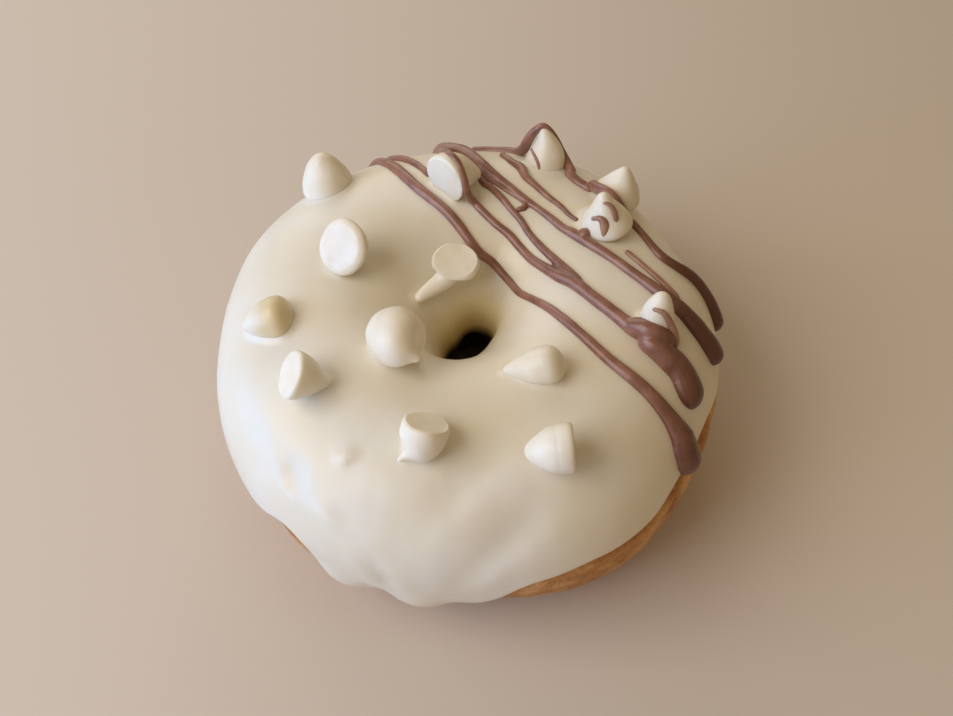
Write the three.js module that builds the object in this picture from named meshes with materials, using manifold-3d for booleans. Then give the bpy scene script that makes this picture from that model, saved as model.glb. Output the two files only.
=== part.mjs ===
// A ring doughnut: a baked dough ring under a coat of white icing, topped with white chocolate
// chips and a drizzle of milk chocolate. Millimetres, +Z up, standing on its flat underside.
//
// A place on the ring is given by two angles in degrees: turn runs anticlockwise round the ring,
// seen from above, from +X, and roll runs round the ring's section, from 0 at the outer flank over
// 90 at the crest to 180 in the throat of the hole.
import * as THREE from 'three';
import { mergeVertices } from 'three/addons/utils/BufferGeometryUtils.js';
import Module from 'manifold-3d';

const wasm = await Module();
wasm.setup();

// Driving dimensions of the iced ring
const icedHeight = 37.4;
const icedRadii = [46.6, 44.9, 47.6, 46.0, 46.9, 48.1, 46.7, 48.1, 49.3, 48.6, 49.9, 47.2];
const bareDoughDepths = [0.4, 1.3, 1.5, 1.4, 1.5, 1.5, 0.9, 1.5, 1.5, 1.0, 0.4, 0.0];
const throatRadius = 4.45;
const throatStretch = 1.35;
const throatStretchTurn = 53;
const sectionPower = 2.25;
const icingThickness = 1.5;
const gap = 0.3;
const gapOnSteepEdge = 0.03;
const flatteningDepth = 2.2;
const turnSteps = 64;
const coveredSteps = 12;
const skinSteps = 24;
const weldDistance = 1e-4;

// The icing's lower edge round the outside, as [turn, roll], and its end inside the hole
const icingEdge = [
  [0, 7], [12, 1], [25, -6], [40, 3], [55, -4], [70, 5], [85, -3], [100, 4], [116, -7], [131, 2],
  [146, -4], [161, 3], [176, -5], [186, 0], [194, -3], [203, -2], [219, -7], [232, 11], [236, 6],
  [245, -23], [255, -19], [262, -29], [268, -19], [276, -10], [283, 7], [294, 14], [306, 15],
  [319, 22], [332, 22], [346, 15], [360, 7],
];
const edgeShoulder = 12;
const edgeSlopeSpan = 3;
const edgeWaveDecay = 3;
const throatEdgeRoll = 188;
const throatEdgeWave = 4;
const throatEdgeWaves = 3;

// White chocolate chips: middle of the foot, tip, foot radius and, on a bent chip, the bend
const chips = [
  { foot: [-27.5, 27.6, 34.5], tip: [-28.3, 29.9, 41.9], radius: 4.8 },
  { foot: [-22.4, 5.8, 41.3], tip: [-17.4, 9.9, 36.5], radius: 5.0 },
  { foot: [-2.4, 5.8, 37.4], tip: [-9.2, 1.2, 33.2], radius: 4.0, bend: [-3.2, 8.4, 32.4] },
  { foot: [-31.2, -6.7, 39.2], tip: [-38.4, -5.5, 34.7], radius: 4.2 },
  { foot: [-28.8, -21.3, 41.4], tip: [-22.1, -19.2, 36.6], radius: 4.3 },
  { foot: [-11.7, -11.4, 38.7], tip: [-8.6, -16.9, 43.0], radius: 5.3, bend: [-12.4, -15.8, 42.6] },
  { foot: [14.2, -18.9, 40.6], tip: [6.0, -17.8, 37.1], radius: 4.3 },
  { foot: [-6.7, -30.9, 42.3], tip: [-7.9, -34.8, 35.5], radius: 4.1 },
  { foot: [16.3, -34.2, 39.7], tip: [8.0, -33.5, 37.1], radius: 4.2 },
  { foot: [-4.7, 23.1, 41.1], tip: [1.2, 28.3, 38.0], radius: 4.3 },
  { foot: [14.9, 33.0, 35.9], tip: [14.2, 35.1, 43.6], radius: 4.2 },
  { foot: [28.3, 24.6, 34.8], tip: [29.5, 25.8, 42.4], radius: 4.3 },
  { foot: [25.3, 14.8, 37.2], tip: [24.8, 16.0, 44.6], radius: 4.5 },
  { foot: [31.9, -8.2, 36.7], tip: [32.4, -7.1, 44.4], radius: 3.9 },
];
// Outline of a chip, as shares of its foot radius and of its length
const chipOutline = [
  [0, 0], [0.9, 0], [1, 0.07], [0.99, 0.2], [0.86, 0.38], [0.63, 0.56], [0.39, 0.73], [0.2, 0.88],
  [0.1, 0.97], [0, 1],
];
const chipSides = 12;

// Drizzle strands that lie on the icing, as [turn, roll, width]
const innerStrand = [
  [117, 20, 3.2], [116, 44, 2.6], [115, 62, 2.8], [112, 86, 3.0], [102, 107, 2.6], [85.5, 128, 2.2],
  [66, 137.5, 2.0], [43, 144, 1.9], [19, 142.5, 1.9], [1, 133, 2.0], [-14, 120.5, 2.3],
  [-21, 113, 2.5], [-29.5, 98, 2.8], [-34, 82.5, 3.0], [-35.5, 63, 3.2], [-36.5, 48.5, 3.6],
  [-37.5, 32, 4.4], [-38, 19, 4.6],
];
const rimTwig = [[113, 22, 2.6], [112, 46, 2.4], [110.5, 54, 2.2], [108, 66, 2.2], [105, 80, 1.6]];
const crossingStrand = [
  [91.5, 98, 1.6], [89, 101, 1.9], [82.3, 109.5, 2.2], [71.3, 117, 2.4], [57.5, 123, 2.4],
  [42.7, 124.7, 2.6], [28, 123, 2.8], [7, 113.4, 2.8], [-6.7, 100.7, 2.8], [-14.3, 88.7, 2.8],
  [-18.1, 80, 3.2], [-19, 73, 3.6], [-21.6, 66.7, 4.0], [-23, 58, 4.2], [-25.8, 50, 4.4],
  [-29, 42, 4.6],
];
const forkedStrand = [
  [86, 83, 2.2], [82, 93, 2.6], [76, 100.6, 2.8], [62, 110.2, 2.6], [47.6, 115, 2.6],
  [27, 117, 2.6], [10, 114.5, 2.4],
];
const forkBridge = [[64, 99, 1.6], [62, 108, 1.8]];
const wideStrand = [
  [98, 24, 3.6], [97, 48, 3.4], [92.5, 57, 3.2], [87.2, 73.6, 2.8], [76.3, 87.7, 2.6],
  [61.4, 99.6, 2.8], [46.8, 102.3, 2.8], [34.2, 100.7, 3.2], [23.8, 94, 2.8], [14.3, 88, 2.6],
  [6.4, 80.6, 2.6], [-0.7, 69.3, 2.8], [-5.6, 57, 3.0], [-9.5, 45, 3.0], [-11.7, 28.4, 3.4],
];
const wideStrandEdge = [[84, 83.7, 1.2], [81, 88.4, 1.5], [72.6, 95.5, 1.5], [65.5, 100, 1.5]];
const stubByChip = [[31, 98, 2.8], [29.5, 93.5, 3.0], [28, 91.5, 2.4]];
const thinTwig = [[16.2, 79.7, 1.5], [8.8, 75, 1.3], [1.1, 66.5, 1.5], [-2, 63, 1.6]];
const middleStrand = [
  [87.5, 52, 1.6], [82, 59, 1.6], [76.3, 70, 1.8], [71.5, 75.7, 2.4], [61.6, 87.6, 2.4],
  [48.9, 92.8, 2.0], [38.6, 92, 1.2],
];
const rimStrandStart = [[90, 38, 2.4], [85, 42, 2.4], [80, 45, 2.4], [77, 51, 2.4]];
const rimStrandEnd = [[58, 65, 2.6], [53, 68.5, 2.4], [49, 68.2, 2.4], [46, 67, 2.4]];
const flankStrand = [
  [31, 62, 2.2], [24, 61.3, 1.8], [15, 59.8, 2.2], [10.4, 50.6, 2.8], [8.4, 36, 3.2],
  [6.5, 26, 3.4], [2, 17, 3.4],
];
// Strands that climb over a chip, as points on the strand's middle
const climbOverBackChip = [
  [8.8, 39.0, 34.4], [9.6, 36.8, 37.2], [10.5, 35.7, 39.8], [11.6, 35.5, 42.0], [12.8, 35.5, 43.4],
  [14.1, 35.5, 44.3], [15.4, 35.3, 43.6], [16.6, 35.1, 42.6], [17.7, 34.7, 41.2], [18.8, 34.1, 39.0],
  [19.6, 33.0, 37.2], [19.9, 31.2, 36.8], [20.0, 29.4, 36.8],
];
const climbOverNearChip = [
  [-5.2, 37.8, 34.9], [-5.0, 32.5, 38.9], [-4.6, 28.4, 43.0], [-3.6, 25.6, 45.2], [-2.2, 23.6, 45.3],
  [-1.3, 22.0, 44.2], [-0.7, 20.8, 42.3], [-0.4, 20.4, 40.2], [-0.3, 20.6, 37.8],
];
const climbOverSideChip = [
  [23.4, 26.4, 36.9], [24.1, 24.6, 37.6], [25.2, 22.9, 38.6], [26.1, 21.9, 38.8], [26.9, 21.1, 38.5],
  [27.7, 20.5, 37.9], [28.6, 20.2, 37.3], [29.5, 20.4, 36.3],
];
const climbWidth = 2.2;
const strandHeightShare = 0.46;
const strandHeightLimit = 1.5;
const strandRootDepth = 1.2;
const strandSides = 8;
const strandStep = 3;
const strandSlopeSpan = 0.01;
const strandEndShare = 0.5;
const longestTaper = 0.3;

// Colours and finishes
const doughLook = { color: 0xc98f4e, roughness: 0.75, metalness: 0 };
const icingLook = { color: 0xe6dcc4, roughness: 0.35, metalness: 0 };
const chipLook = { color: 0xf3ecdc, roughness: 0.4, metalness: 0 };
const drizzleLook = { color: 0x93675a, roughness: 0.38, metalness: 0 };

const { degToRad, euclideanModulo, lerp, smoothstep } = THREE.MathUtils;

// A smooth curve through four neighbouring values, between the second and the third
function throughValues(before, from, to, after, share) {
  const slopes = to - before + share * (2 * before - 5 * from + 4 * to - after
    + share * (3 * (from - to) + after - before));
  return from + 0.5 * share * slopes;
}

// A smooth closed curve through values spread evenly round the ring
function roundTheRing(values, turn) {
  const place = (euclideanModulo(turn, 360) / 360) * values.length;
  const index = Math.floor(place);
  const value = (step) => values[(index + step + values.length) % values.length];
  return throughValues(value(-1), value(0), value(1), value(2), place - index);
}

// Each point of the icing's edge is a crest, a dip or a shoulder of its wave
function icingEdgeRoll(turn) {
  const place = euclideanModulo(turn, 360);
  const index = icingEdge.findIndex((point) => point[0] > place);
  const [fromTurn, fromRoll] = icingEdge[index - 1];
  const [toTurn, toRoll] = icingEdge[index];
  return lerp(fromRoll, toRoll, smoothstep(place, fromTurn, toTurn));
}

function throatRoll(turn) {
  return throatEdgeRoll + throatEdgeWave * Math.sin(throatEdgeWaves * degToRad(turn));
}

// The roll at a share of the way from the icing's outer edge to its end in the hole: the wave of
// the edge dies away towards the crest
function coveredRoll(turn, share) {
  return throatRoll(turn) * share + icingEdgeRoll(turn) * (1 - share) ** edgeWaveDecay;
}

// The icing stands a little further off the dough where its edge is steep
function gapUnderIcing(turn) {
  const slope = icingEdgeRoll(turn + edgeSlopeSpan) - icingEdgeRoll(turn - edgeSlopeSpan);
  return gap + gapOnSteepEdge * Math.abs(slope);
}

// A point on the ring's rounded section, lifted off the iced surface by lift
function ringPoint(turn, roll, lift, sag = 0) {
  const stretchTurn = degToRad(2 * (turn - throatStretchTurn));
  const inner = throatRadius + throatStretch * Math.cos(stretchTurn);
  const outer = roundTheRing(icedRadii, turn);
  const across = Math.cos(degToRad(roll));
  const up = Math.sin(degToRad(roll));
  const power = sectionPower;
  const reach = (Math.abs(across) ** power + Math.abs(up) ** power) ** (-1 / power);
  const halfHeight = icedHeight / 2 + lift + (up < 0 ? sag : 0);
  const radius = (outer + inner) / 2 + ((outer - inner) / 2 + lift) * across * reach;
  const height = icedHeight / 2 + halfHeight * up * reach;
  return new THREE.Vector3(
    radius * Math.cos(degToRad(turn)), radius * Math.sin(degToRad(turn)), height,
  );
}

// The dough lies deeper under the icing than where it is bare, and rests flat on its underside
function doughPoint(turn, roll, lift = 0) {
  const edge = icingEdgeRoll(turn);
  const end = throatRoll(turn);
  const fromBelow = roll > 270 ? roll - 360 : roll;
  const underIcing = smoothstep(fromBelow, edge - edgeShoulder, edge - 1)
    * (1 - smoothstep(roll, end + 1, end + edgeShoulder));
  const depth = lerp(roundTheRing(bareDoughDepths, turn), icingThickness, underIcing);
  const point = ringPoint(turn, roll, lift - depth, flatteningDepth);
  point.z = Math.max(point.z, 0);
  return point;
}

// A closed body round the ring: place gives each point from its step round the section and turn
function ringGeometry(sectionSteps, turnSteps, place) {
  const geometry = new THREE.TorusGeometry(2, 1, sectionSteps, turnSteps);
  const position = geometry.attributes.position;
  for (let index = 0; index < position.count; index += 1) {
    const step = Math.floor(index / (turnSteps + 1)) % sectionSteps;
    const turn = ((index % (turnSteps + 1)) % turnSteps) * (360 / turnSteps);
    const point = place(step, turn);
    position.setXYZ(index, point.x, point.y, point.z);
  }
  return weld(geometry);
}

// A closed body along a line: place gives each point from its share of the length, its angle
// round the section and whether it lies on the rim or in the middle of an end
function sweptGeometry(sides, steps, place) {
  const geometry = new THREE.CylinderGeometry(1, 1, 1, sides, steps);
  const position = geometry.attributes.position;
  for (let index = 0; index < position.count; index += 1) {
    const [x, y, z] = [position.getX(index), position.getY(index), position.getZ(index)];
    const point = place(0.5 - y, Math.atan2(z, x), Math.round(Math.hypot(x, z)));
    position.setXYZ(index, point.x, point.y, point.z);
  }
  return weld(geometry);
}

function weld(geometry) {
  geometry.deleteAttribute('normal');
  geometry.deleteAttribute('uv');
  return mergeVertices(geometry, weldDistance);
}

function toSolid(geometry) {
  return new wasm.Manifold(new wasm.Mesh({
    numProp: 3,
    vertProperties: new Float32Array(geometry.attributes.position.array),
    triVerts: new Uint32Array(geometry.index.array),
  }));
}

function toGeometry(solid) {
  const cut = solid.getMesh();
  const geometry = new THREE.BufferGeometry();
  geometry.setAttribute('position', new THREE.BufferAttribute(cut.vertProperties, 3));
  geometry.setIndex(new THREE.BufferAttribute(cut.triVerts, 1));
  return geometry;
}

function addPiece(group, name, geometry, look) {
  geometry.computeVertexNormals();
  const mesh = new THREE.Mesh(geometry, new THREE.MeshStandardMaterial(look));
  mesh.name = name;
  group.add(mesh);
}

// The dough's grid follows the icing's two edges, so that both keep the same shape where they meet
function doughGeometry() {
  const bareSteps = 9;
  const nearEdge = [edgeShoulder, 7, 3];
  const sectionSteps = coveredSteps + bareSteps + nearEdge.length;
  return ringGeometry(sectionSteps, turnSteps, (step, turn) => {
    const edge = icingEdgeRoll(turn);
    const end = throatRoll(turn);
    if (step < coveredSteps) return doughPoint(turn, coveredRoll(turn, step / coveredSteps));
    const bare = step - coveredSteps;
    if (bare < bareSteps) {
      return doughPoint(turn, lerp(end, edge + 360 - edgeShoulder, bare / bareSteps));
    }
    return doughPoint(turn, edge - nearEdge[bare - bareSteps]);
  });
}

// The coat of icing: its section runs up the outside, over the crest into the hole, and back
// along the dough, with a rounded lip at each end, as degrees past the end and shares of thickness
function icingGeometry() {
  const edgeLip = [[0, 0], [-0.8, 0.5], [0.6, 0.87]];
  const outsideSteps = 15;
  const lipEnd = edgeLip.length + outsideSteps + 1;
  const sectionSteps = lipEnd + edgeLip.length - 1 + coveredSteps;
  const outsideInset = 0.02;
  return ringGeometry(sectionSteps, turnSteps, (step, turn) => {
    const inside = gapUnderIcing(turn);
    const lipPoint = ([inset, share], roll, way) => (
      doughPoint(turn, roll + way * inset, lerp(inside, icingThickness, share)));
    if (step < edgeLip.length) return lipPoint(edgeLip[step], icingEdgeRoll(turn), 1);
    if (step < lipEnd) {
      const share = (step - edgeLip.length) / outsideSteps;
      const roll = coveredRoll(turn, lerp(outsideInset, 1 - outsideInset, share));
      return doughPoint(turn, roll, icingThickness);
    }
    const endStep = step - lipEnd;
    if (endStep < edgeLip.length) {
      return lipPoint(edgeLip[edgeLip.length - 1 - endStep], throatRoll(turn), -1);
    }
    const share = 1 - (endStep - edgeLip.length + 1) / coveredSteps;
    return doughPoint(turn, coveredRoll(turn, share), inside);
  });
}

// A chip's outline is turned on the axis, then laid along the line from its foot to its tip
function chipGeometry({ foot, tip, radius, bend }) {
  const footPoint = new THREE.Vector3(...foot);
  const tipPoint = new THREE.Vector3(...tip);
  const middle = bend ? new THREE.Vector3(...bend) : footPoint.clone().lerp(tipPoint, 0.5);
  const axis = new THREE.QuadraticBezierCurve3(footPoint, middle, tipPoint);
  const outline = chipOutline.map(([across, along]) => new THREE.Vector2(across * radius, along));
  const geometry = new THREE.LatheGeometry(outline, chipSides);
  const position = geometry.attributes.position;
  const upright = new THREE.Quaternion();
  upright.setFromUnitVectors(new THREE.Vector3(0, 1, 0), axis.getTangent(0));
  for (let index = 0; index < position.count; index += 1) {
    const along = position.getY(index);
    const lean = new THREE.Quaternion();
    lean.setFromUnitVectors(axis.getTangent(0), axis.getTangent(along));
    const point = new THREE.Vector3(position.getX(index), 0, position.getZ(index));
    point.applyQuaternion(upright).applyQuaternion(lean).add(axis.getPoint(along));
    position.setXYZ(index, point.x, point.y, point.z);
  }
  return weld(geometry);
}

// A strand's line at a share of its length: middle, width and the way it faces
function strandPlace(route, share) {
  const place = share * (route.length - 1);
  const index = Math.min(Math.floor(place), route.length - 2);
  const point = (step) => route[Math.min(Math.max(index + step, 0), route.length - 1)];
  return [0, 1, 2].map((column) => throughValues(
    point(-1)[column], point(0)[column], point(1)[column], point(2)[column], place - index,
  ));
}

function routeLength(route, onRing) {
  const points = route.map((entry) => (
    onRing ? ringPoint(entry[0], entry[1], 0) : new THREE.Vector3(...entry)));
  return points.slice(1).reduce((sum, point, index) => sum + point.distanceTo(points[index]), 0);
}

// Both ends of a strand are rounded off over the last share of its length
function endTaper(share, taper) {
  const fromEnd = Math.min(share, 1 - share) / taper;
  return lerp(strandEndShare, 1, Math.sqrt(1 - Math.max(1 - fromEnd, 0) ** 2));
}

// A bead of chocolate lying on the icing, rooted below the surface until it is cut flush
function beadOnIcing(route) {
  const length = routeLength(route, true);
  const steps = Math.max(4, Math.round(length / strandStep));
  const place = (share) => {
    const [turn, roll] = strandPlace(route, share);
    return ringPoint(turn, roll, gap);
  };
  return toSolid(sweptGeometry(strandSides, steps, (share, angle, rim) => {
    const [turn, roll, fullWidth] = strandPlace(route, share);
    const width = fullWidth * endTaper(share, Math.min(longestTaper, fullWidth / 2 / length));
    const behind = place(Math.max(share - strandSlopeSpan, 0));
    const ahead = place(Math.min(share + strandSlopeSpan, 1)).sub(behind);
    const facing = ringPoint(turn, roll, 1).sub(ringPoint(turn, roll, 0)).normalize();
    const side = new THREE.Vector3().crossVectors(facing, ahead).normalize();
    const height = Math.min(width * strandHeightShare, strandHeightLimit);
    const lift = Math.sin(angle) * (angle > 0 ? height : strandRootDepth);
    return place(share).addScaledVector(side, (rim * Math.cos(angle) * width) / 2)
      .addScaledVector(facing, rim * lift);
  }));
}

// A round strand through points in the air, where it climbs over a chip
function roundStrand(points) {
  const curve = new THREE.CatmullRomCurve3(points.map((point) => new THREE.Vector3(...point)));
  const section = new THREE.Shape();
  section.absarc(0, 0, climbWidth / 2, 0, 2 * Math.PI);
  const steps = Math.round((2 * routeLength(points, false)) / strandStep);
  return toSolid(weld(new THREE.ExtrudeGeometry(section, {
    steps, curveSegments: strandSides / 2, extrudePath: curve,
  })));
}

function joined(solids) {
  return solids.reduce((whole, solid) => whole.add(solid));
}

const model = new THREE.Group();
addPiece(model, 'dough_ring', doughGeometry(), doughLook);
addPiece(model, 'white_icing', icingGeometry(), icingLook);

// Chips and strands sit on the icing and clear it, and strands clear the chips, by the gap
const clearSkin = toSolid(ringGeometry(skinSteps, turnSteps, (step, turn) => (
  ringPoint(turn, step * (360 / skinSteps), gap))));
const clearChips = joined(chips.map((chip) => {
  const axis = new THREE.Vector3(...chip.tip).sub(new THREE.Vector3(...chip.foot)).setLength(gap);
  const foot = new THREE.Vector3(...chip.foot).sub(axis).toArray();
  const tip = new THREE.Vector3(...chip.tip).add(axis).toArray();
  return toSolid(chipGeometry({ ...chip, foot, tip, radius: chip.radius + gap }));
}));
chips.forEach((chip, index) => {
  const solid = toSolid(chipGeometry(chip)).subtract(clearSkin);
  addPiece(model, `chip_${index + 1}`, toGeometry(solid), chipLook);
});
const strands = {
  drizzle_inner_strand: [beadOnIcing(innerStrand)],
  drizzle_rim_twig: [beadOnIcing(rimTwig)],
  drizzle_forked_web: [
    ...[crossingStrand, forkedStrand, forkBridge, wideStrand, wideStrandEdge].map(beadOnIcing),
    ...[stubByChip, thinTwig].map(beadOnIcing),
    roundStrand(climbOverNearChip),
  ],
  drizzle_middle_strand: [beadOnIcing(middleStrand)],
  drizzle_rim_strand: [
    beadOnIcing(rimStrandStart), roundStrand(climbOverBackChip), beadOnIcing(rimStrandEnd),
    roundStrand(climbOverSideChip),
  ],
  drizzle_flank_strand: [beadOnIcing(flankStrand)],
};
Object.entries(strands).forEach(([name, solids]) => {
  const solid = joined(solids).subtract(clearSkin).subtract(clearChips);
  addPiece(model, name, toGeometry(solid), drizzleLook);
});

// The origin is the middle of the doughnut's box, on the surface that it stands on
const box = new THREE.Box3().setFromObject(model);
model.position.set(-(box.min.x + box.max.x) / 2, -(box.min.y + box.max.y) / 2, -box.min.z);

export default model;
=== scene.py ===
# A ring doughnut: a baked dough ring under white icing, with white chocolate chips and a drizzle
# of milk chocolate. Lengths are in metres, and mm turns a figure in millimetres into metres.
import math
import bpy
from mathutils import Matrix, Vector, noise
from mathutils.bvhtree import BVHTree
from mathutils.kdtree import KDTree


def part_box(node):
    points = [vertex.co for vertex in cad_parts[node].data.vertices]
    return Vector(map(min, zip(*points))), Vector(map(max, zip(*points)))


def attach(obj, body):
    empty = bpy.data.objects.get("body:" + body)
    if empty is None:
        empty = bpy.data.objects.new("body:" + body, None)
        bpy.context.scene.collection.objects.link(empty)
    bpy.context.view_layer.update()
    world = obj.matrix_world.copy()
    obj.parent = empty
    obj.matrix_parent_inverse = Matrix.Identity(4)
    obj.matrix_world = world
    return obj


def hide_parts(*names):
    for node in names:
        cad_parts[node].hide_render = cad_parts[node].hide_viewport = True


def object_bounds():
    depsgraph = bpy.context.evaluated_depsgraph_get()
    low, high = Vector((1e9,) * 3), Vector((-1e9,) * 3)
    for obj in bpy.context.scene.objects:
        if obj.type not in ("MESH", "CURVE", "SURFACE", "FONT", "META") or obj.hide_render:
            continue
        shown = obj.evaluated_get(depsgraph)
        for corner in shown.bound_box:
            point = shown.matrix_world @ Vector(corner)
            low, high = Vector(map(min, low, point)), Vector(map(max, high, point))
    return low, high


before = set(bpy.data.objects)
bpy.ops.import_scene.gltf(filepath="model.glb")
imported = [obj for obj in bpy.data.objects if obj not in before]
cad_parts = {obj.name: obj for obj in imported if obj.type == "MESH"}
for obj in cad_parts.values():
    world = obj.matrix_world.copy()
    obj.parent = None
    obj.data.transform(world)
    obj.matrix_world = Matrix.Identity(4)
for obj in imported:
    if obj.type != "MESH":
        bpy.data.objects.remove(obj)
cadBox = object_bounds()  # the box of the construction, before anything is added
mm = 0.001
# The upright axis of the hole, which its shade and its shape both go by
holeAxis = {"x": -0.1 * mm, "y": 1.3 * mm}


# Handling pieces

def takeUp(*pieces):
    bpy.ops.object.select_all(action="DESELECT")
    for piece in pieces:
        piece.select_set(True)
    bpy.context.view_layer.objects.active = pieces[0]


def useModifier(piece, kind, settings):
    takeUp(piece)
    modifier = piece.modifiers.new(kind, kind)
    for name, value in settings.items():
        setattr(modifier, name, value)
    bpy.ops.object.modifier_apply(modifier=modifier.name)


def subdivide(piece, levels):
    useModifier(piece, "SUBSURF", {"levels": levels, "render_levels": levels})


# Subdivides, after moving the corners out until the smooth surface runs through where they were
def subdivideThrough(piece, levels, rounds=2):
    aims = [vertex.co.copy() for vertex in piece.data.vertices]
    for _ in range(rounds):
        trial = bpy.data.objects.new("trial", piece.data.copy())
        bpy.context.scene.collection.objects.link(trial)
        subdivide(trial, 1)
        for vertex, aim, reached in zip(piece.data.vertices, aims, trial.data.vertices):
            vertex.co += aim - reached.co
        bpy.data.objects.remove(trial)
    subdivide(piece, levels)


# A node's mesh is loose triangles, so a copy is welded and its triangles are paired into quads
nodeCopy = {"weld": 0.01 * mm, "pairAngle": math.radians(70)}


def copyOfNode(name, node):
    piece = bpy.data.objects.new(name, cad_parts[node].data.copy())
    bpy.context.scene.collection.objects.link(piece)
    takeUp(piece)
    bpy.ops.object.mode_set(mode="EDIT")
    bpy.ops.mesh.select_all(action="SELECT")
    bpy.ops.mesh.remove_doubles(threshold=nodeCopy["weld"])
    angle = nodeCopy["pairAngle"]
    bpy.ops.mesh.tris_convert_to_quads(face_threshold=angle, shape_threshold=angle)
    bpy.ops.object.mode_set(mode="OBJECT")
    piece.data.materials.clear()
    return piece


# Moves each vertex by what the rule says for its place and its normal
def sculpt(piece, rule):
    moves = [rule(vertex.co, vertex.normal) for vertex in piece.data.vertices]
    for vertex, move in zip(piece.data.vertices, moves):
        vertex.co += move
    piece.data.update()


def treeOf(*pieces):
    points, faces = [], []
    for piece in pieces:
        start = len(points)
        points += [vertex.co.copy() for vertex in piece.data.vertices]
        faces += [[start + index for index in face.vertices] for face in piece.data.polygons]
    return BVHTree.FromPolygons(points, faces)


def finishPiece(piece, look, slot, *nodes):
    takeUp(piece)
    bpy.ops.object.shade_smooth()
    piece.data.materials.clear()
    piece.data.materials.append(look)
    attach(piece, "root")
    if nodes:
        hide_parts(*nodes)


# Materials

class Signal:
    # a socket that shader maths can be written with
    def __init__(self, look, socket):
        self.look = look
        self.socket = socket

    def maths(self, operation, first, second):
        return self.look.node("ShaderNodeMath", {"operation": operation}, {0: first, 1: second})

    def __add__(self, other):
        return self.maths("ADD", self, other)

    def __sub__(self, other):
        return self.maths("SUBTRACT", self, other)

    def __rsub__(self, other):
        return self.maths("SUBTRACT", other, self)

    def __mul__(self, other):
        return self.maths("MULTIPLY", self, other)

    __radd__ = __add__
    __rmul__ = __mul__


class Look:
    # a material, with its constants set on the shader's own sockets
    def __init__(self, name, finish):
        self.material = bpy.data.materials.new(name)
        self.material.use_nodes = True
        self.nodes = self.material.node_tree.nodes
        self.shader = self.nodes["Principled BSDF"]
        for socket, value in finish.items():
            self.shader.inputs[socket].default_value = value
        self.place = self.node("ShaderNodeTexCoord", {}, {}, "Object")

    def node(self, kind, settings, inputs, output=0):
        made = self.nodes.new(kind)
        for name, value in settings.items():
            if name == "stops":
                for index, (position, colour) in enumerate(value):
                    stops = made.color_ramp.elements
                    stop = stops[index] if index < len(stops) else stops.new(position)
                    stop.position = position
                    stop.color = colour
            else:
                setattr(made, name, value)
        for name, value in inputs.items():
            self.feed(made.inputs[name], value)
        return Signal(self, made.outputs[output])

    def feed(self, socket, value):
        if isinstance(value, Signal):
            self.material.node_tree.links.new(value.socket, socket)
        else:
            socket.default_value = value

    def set(self, socket, value):
        self.feed(self.shader.inputs[socket], value)

    def cloud(self, size, detail=2.0):
        inputs = {"Vector": self.place, "Scale": 1 / size, "Detail": detail}
        return self.node("ShaderNodeTexNoise", {}, inputs)

    def axis(self, name):
        return self.node("ShaderNodeSeparateXYZ", {}, {0: self.place}, name)

    # the square of the distance from the axis of the hole
    def fromHole(self):
        across, along = self.axis("X") - holeAxis["x"], self.axis("Y") - holeAxis["y"]
        return across * across + along * along

    def ramp(self, signal, stops):
        return self.node("ShaderNodeValToRGB", {"stops": stops}, {"Fac": signal})

    def mask(self, signal, low, high):
        return self.node("ShaderNodeMapRange", {"interpolation_type": "SMOOTHSTEP"},
                         {"Value": signal, "From Min": low, "From Max": high})

    # two colours in soft patches
    def patches(self, grain, first, second):
        share = self.mask(self.cloud(grain["patch"]), *grain["patchEdges"])
        return self.blend(share, first, second)

    # gloss that comes and goes, and fine ripples
    def ripple(self, grain):
        lowest, highest = grain["roughness"]
        self.set("Roughness", lowest + (highest - lowest) * self.cloud(grain["gloss"]))
        self.bump(self.cloud(grain["ripple"], grain["rippleDetail"]), grain["depth"])

    def blend(self, share, first, second):
        return self.node("ShaderNodeMix", {"data_type": "RGBA"}, {0: share, 6: first, 7: second}, 2)

    def bump(self, height, distance):
        inputs = {"Height": height, "Distance": distance}
        self.set("Normal", self.node("ShaderNodeBump", {}, inputs))


icingColours = {"cream": (0.80, 0.74, 0.60, 1), "pale": (0.83, 0.785, 0.68, 1)}
icingFinish = {"Subsurface Weight": 0.25, "Subsurface Radius": (1.0, 0.75, 0.45),
               "Subsurface Scale": 2.5 * mm, "Coat Weight": 0.15, "Coat Roughness": 0.3}
icingGrain = {"patch": 14 * mm, "patchEdges": (0.35, 0.65), "gloss": 6 * mm,
              "roughness": (0.30, 0.40), "ripple": 7 * mm, "rippleDetail": 2.0, "depth": 0.10 * mm}


# Painted shade: the throat of the hole is painted darker from the top down, through olive-yellow to
# near black, where it lies in shadow
throatShade = {"bottom": 15.3 * mm, "top": 30 * mm, "inner": 9 * mm, "outer": 12 * mm, "stops": [
    (0.03, (0.02, 0.01, 0.006, 1)), (0.1, (0.34, 0.24, 0.10, 1)), (0.24, (0.80, 0.64, 0.31, 1)),
    (0.8, (0.85, 0.75, 0.50, 1)), (1.0, icingColours["cream"])]}


def icingLook():
    look = Look("whiteIcing", icingFinish)
    depth = look.mask(look.axis("Z"), throatShade["bottom"], throatShade["top"])
    outside = look.mask(look.fromHole(), throatShade["inner"] ** 2, throatShade["outer"] ** 2)
    surface = look.patches(icingGrain, icingColours["cream"], icingColours["pale"])
    # painted shade in the throat of the hole, blended in near its axis
    look.set("Base Color", look.blend(outside, look.ramp(depth, throatShade["stops"]), surface))
    look.ripple(icingGrain)
    return look.material


chipColours = {"body": (0.82, 0.765, 0.62, 1), "rubbed": (0.86, 0.815, 0.70, 1)}
chipFinish = {"Subsurface Weight": 0.3, "Subsurface Radius": (1.0, 0.8, 0.5),
              "Subsurface Scale": 2.0 * mm}
chipGrain = {"patch": 4 * mm, "patchEdges": (0.35, 0.65), "gloss": 2 * mm,
             "roughness": (0.34, 0.48), "ripple": 1.6 * mm, "rippleDetail": 3.0, "depth": 0.05 * mm}


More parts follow.
